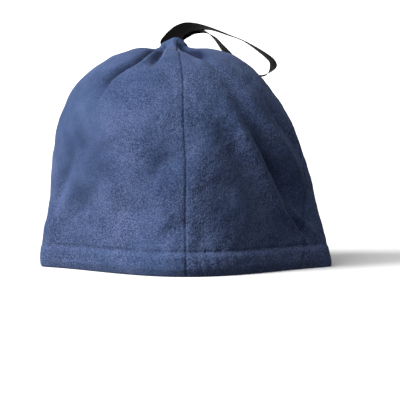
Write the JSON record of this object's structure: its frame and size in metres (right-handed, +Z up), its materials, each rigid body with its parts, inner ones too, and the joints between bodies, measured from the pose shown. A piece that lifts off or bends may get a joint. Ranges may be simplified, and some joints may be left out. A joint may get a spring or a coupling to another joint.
{
  "type": "sauna hat",
  "caption": "Bell-shaped fleece sauna hat with a turned hem, a dark lining and a ribbon hanging loop sewn into its gathered tip.",
  "frame": {"origin": "on the surface that the hem stands on, under the middle of the hat", "axes": "+Z up, +X from the hem's left corner to its right corner, -Y towards the front seam"},
  "size_m": [0.2878, 0.2126, 0.2415],
  "materials": {
    "fleece": "brushed short pile",
    "lining_cloth": "plain matt weave",
    "satin": "satin"
  },
  "bodies": {
    "root": {"gore_front_right": "fleece", "gore_back_right": "fleece", "gore_back_left": "fleece", "gore_front_left": "fleece", "lining": "lining_cloth", "ribbon_loop": "satin"}
  },
  "joints": []
}
